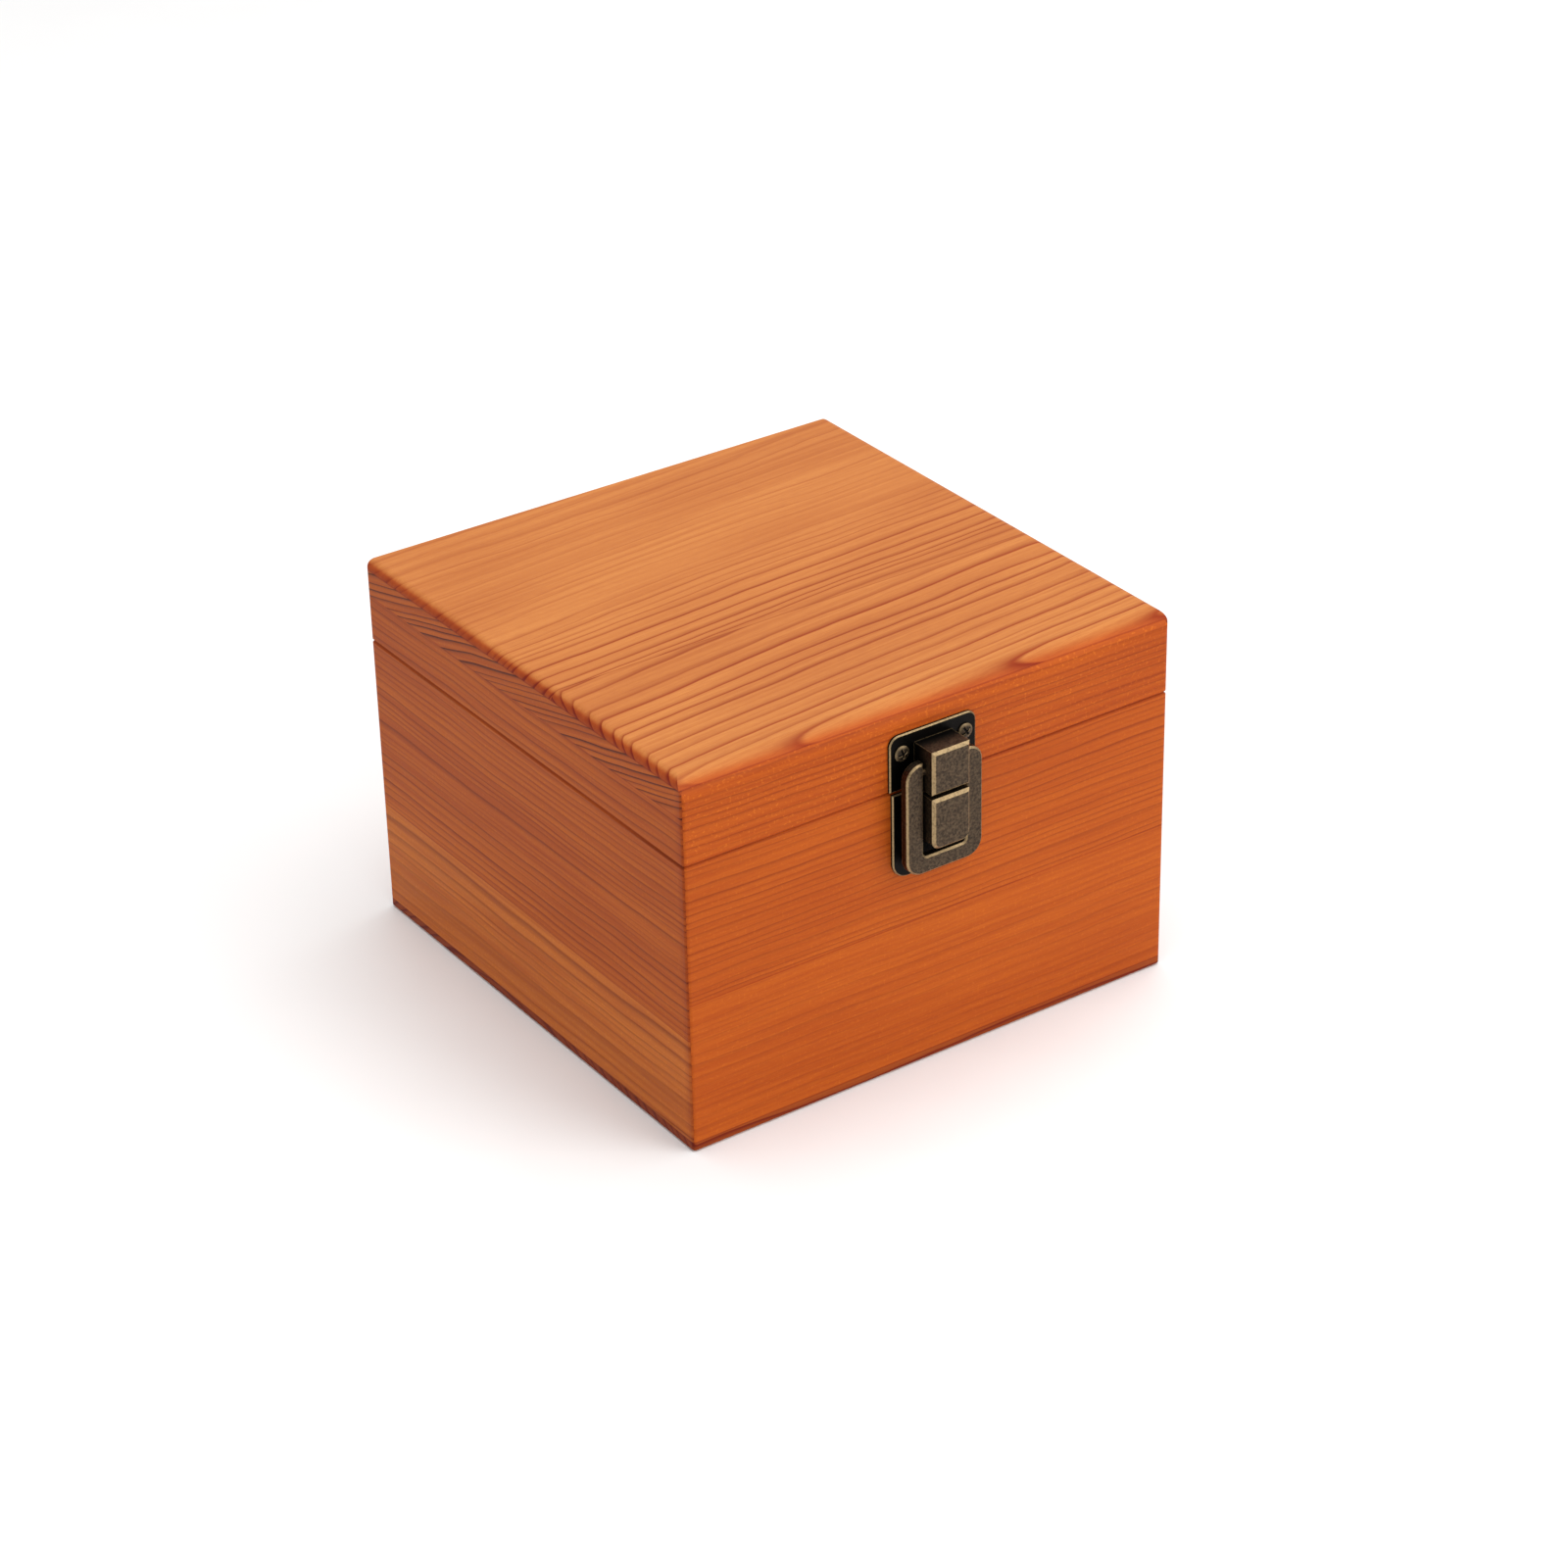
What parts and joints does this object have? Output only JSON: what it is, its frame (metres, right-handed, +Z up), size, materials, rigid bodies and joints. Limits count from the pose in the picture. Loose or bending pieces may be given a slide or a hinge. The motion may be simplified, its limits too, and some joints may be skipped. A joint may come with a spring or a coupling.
{
  "type": "wooden storage box",
  "caption": "Square wooden storage box with a hinged lid, edge-glued boards, rounded top edges and an antique bronze front latch.",
  "frame": {"origin": "centre of the underside of the box, latch and hinges left out of account", "axes": "+Z up; -Y is the front with the latch; +Y is the back with the hinges; +X is the right side seen from the front"},
  "size_m": [0.16, 0.1738, 0.113],
  "materials": {
    "top_wood": "clear satin varnish",
    "wall_wood": "stained, clear satin varnish",
    "base_wood": "clear satin varnish",
    "antique_bronze": "darkened, worn brighter on the edges",
    "screw_bronze": "darkened, worn brighter on the edges"
  },
  "bodies": {
    "box": {"front_wall_upper_board": "wall_wood", "front_wall_lower_board": "wall_wood", "back_wall_upper_board": "wall_wood", "back_wall_lower_board": "wall_wood", "left_wall_upper_board": "wall_wood", "left_wall_lower_board": "wall_wood", "right_wall_upper_board": "wall_wood", "right_wall_lower_board": "wall_wood", "bottom_board": "base_wood", "latch_catch_plate": "antique_bronze", "box_screws": "screw_bronze", "left_hinge_box_leaf": "antique_bronze", "left_hinge_pin": "antique_bronze", "right_hinge_box_leaf": "antique_bronze", "right_hinge_pin": "antique_bronze"},
    "lid": {"lid_top_front_board": "top_wood", "lid_top_back_board": "top_wood", "lid_front_rail": "wall_wood", "lid_back_rail": "wall_wood", "lid_left_rail": "wall_wood", "lid_right_rail": "wall_wood", "lid_left_upper_rail": "wall_wood", "latch_strike_plate": "antique_bronze", "lid_screws": "screw_bronze", "left_hinge_lid_leaf": "antique_bronze", "right_hinge_lid_leaf": "antique_bronze"},
    "hasp": {"latch_hasp": "antique_bronze", "latch_hasp_pin": "antique_bronze"}
  },
  "joints": [
    {"name": "lid_hinge", "type": "hinge", "parent": "box", "child": "lid", "pos_m": [0, 0.0823, 0.088], "axis": [-1, 0, 0], "range_deg": [0, 180]},
    {"name": "hasp_pivot", "type": "hinge", "parent": "lid", "child": "hasp", "pos_m": [-0.001, -0.08505, 0.0945], "axis": [-1, 0, 0], "range_deg": [0, 175]}
  ]
}
